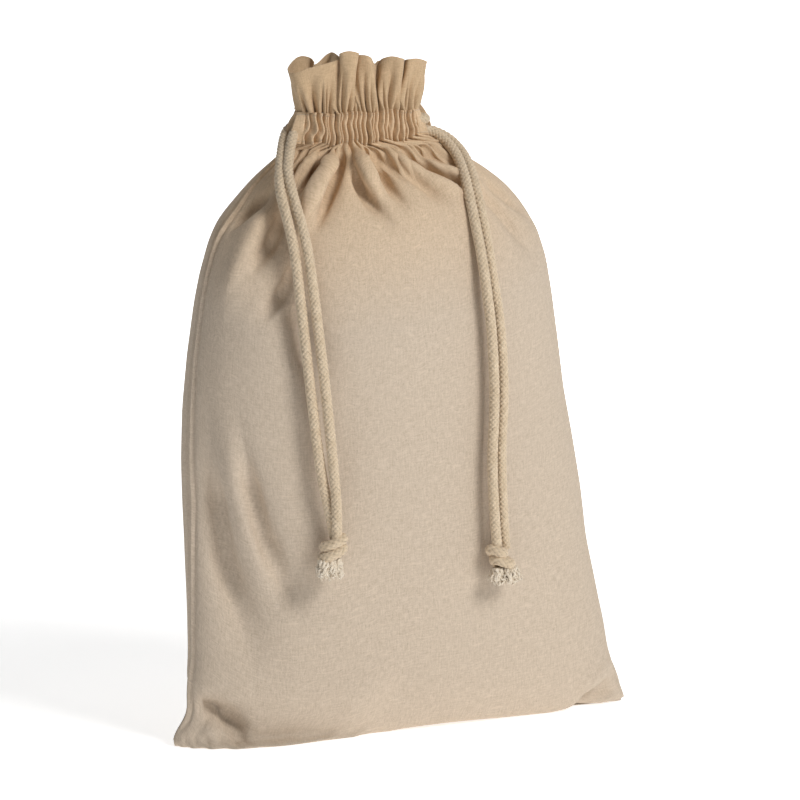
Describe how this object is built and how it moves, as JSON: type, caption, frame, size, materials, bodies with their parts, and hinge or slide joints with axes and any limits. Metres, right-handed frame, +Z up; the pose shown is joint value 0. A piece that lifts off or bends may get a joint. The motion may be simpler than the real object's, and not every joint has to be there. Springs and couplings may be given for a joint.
{
  "type": "drawstring treat pouch",
  "caption": "Cotton drawstring treat pouch standing filled, neck gathered by two braided drawcords that run in stitched tunnels and hang in knotted pairs down the front.",
  "frame": {"origin": "centre of the pouch's base on the surface it stands on", "axes": "+Z up, -Y the front where the cords hang, +X to the right seen from the front"},
  "size_m": [0.194, 0.0879, 0.263],
  "materials": {
    "cotton_cloth": "unbleached plain-weave cotton, matt",
    "cotton_cord": "braided cotton, matt",
    "sewing_thread": "spun cotton thread, matt"
  },
  "bodies": {
    "root": {"back_panel": "cotton_cloth", "back_tunnel": "cotton_cloth", "back_tunnel_lower_stitches": "sewing_thread", "back_tunnel_upper_stitches": "sewing_thread", "bottom_seam": "cotton_cloth", "bottom_seam_overlock": "sewing_thread", "front_panel": "cotton_cloth", "front_tunnel": "cotton_cloth", "front_tunnel_lower_stitches": "sewing_thread", "front_tunnel_upper_stitches": "sewing_thread", "left_drawcord_loop": "cotton_cord", "left_side_seam": "cotton_cloth", "left_side_seam_overlock": "sewing_thread", "left_slit_bartack": "sewing_thread", "right_drawcord_loop": "cotton_cord", "right_side_seam": "cotton_cloth", "right_side_seam_overlock": "sewing_thread", "right_slit_bartack": "sewing_thread"},
    "left_cord_exit": {"left_drawcord_exits": "cotton_cord"},
    "left_cord": {"left_front_strand": "cotton_cord", "left_back_strand": "cotton_cord", "left_knot": "cotton_cord", "left_frayed_ends": "cotton_cord"},
    "right_cord_exit": {"right_drawcord_exits": "cotton_cord"},
    "right_cord": {"right_front_strand": "cotton_cord", "right_back_strand": "cotton_cord", "right_knot": "cotton_cord", "right_frayed_ends": "cotton_cord"},
    "front_frill": {"front_frill": "cotton_cloth"},
    "back_frill": {"back_frill": "cotton_cloth"}
  },
  "joints": [
    {"name": "left_cord_pull", "type": "slide", "parent": "root", "child": "left_cord_exit", "axis": [-1, 0, 0], "range_m": [0, 0.015]},
    {"name": "left_cord_lift", "type": "hinge", "parent": "left_cord_exit", "child": "left_cord", "pos_m": [-0.0476, 0, 0.2373], "axis": [-1, 0, 0], "range_deg": [0, 150]},
    {"name": "right_cord_pull", "type": "slide", "parent": "root", "child": "right_cord_exit", "axis": [1, 0, 0], "range_m": [0, 0.015]},
    {"name": "right_cord_lift", "type": "hinge", "parent": "right_cord_exit", "child": "right_cord", "pos_m": [0.0156, 0, 0.2332], "axis": [-1, 0, 0], "range_deg": [0, 150]},
    {"name": "front_frill_splay", "type": "hinge", "parent": "root", "child": "front_frill", "pos_m": [-0.016, -0.0096, 0.242], "axis": [1, 0, 0], "range_deg": [0, 35], "stiffness_Nm_per_rad": 0.002},
    {"name": "back_frill_splay", "type": "hinge", "parent": "root", "child": "back_frill", "pos_m": [-0.016, 0.0096, 0.242], "axis": [-1, 0, 0], "range_deg": [0, 35], "stiffness_Nm_per_rad": 0.002}
  ]
}
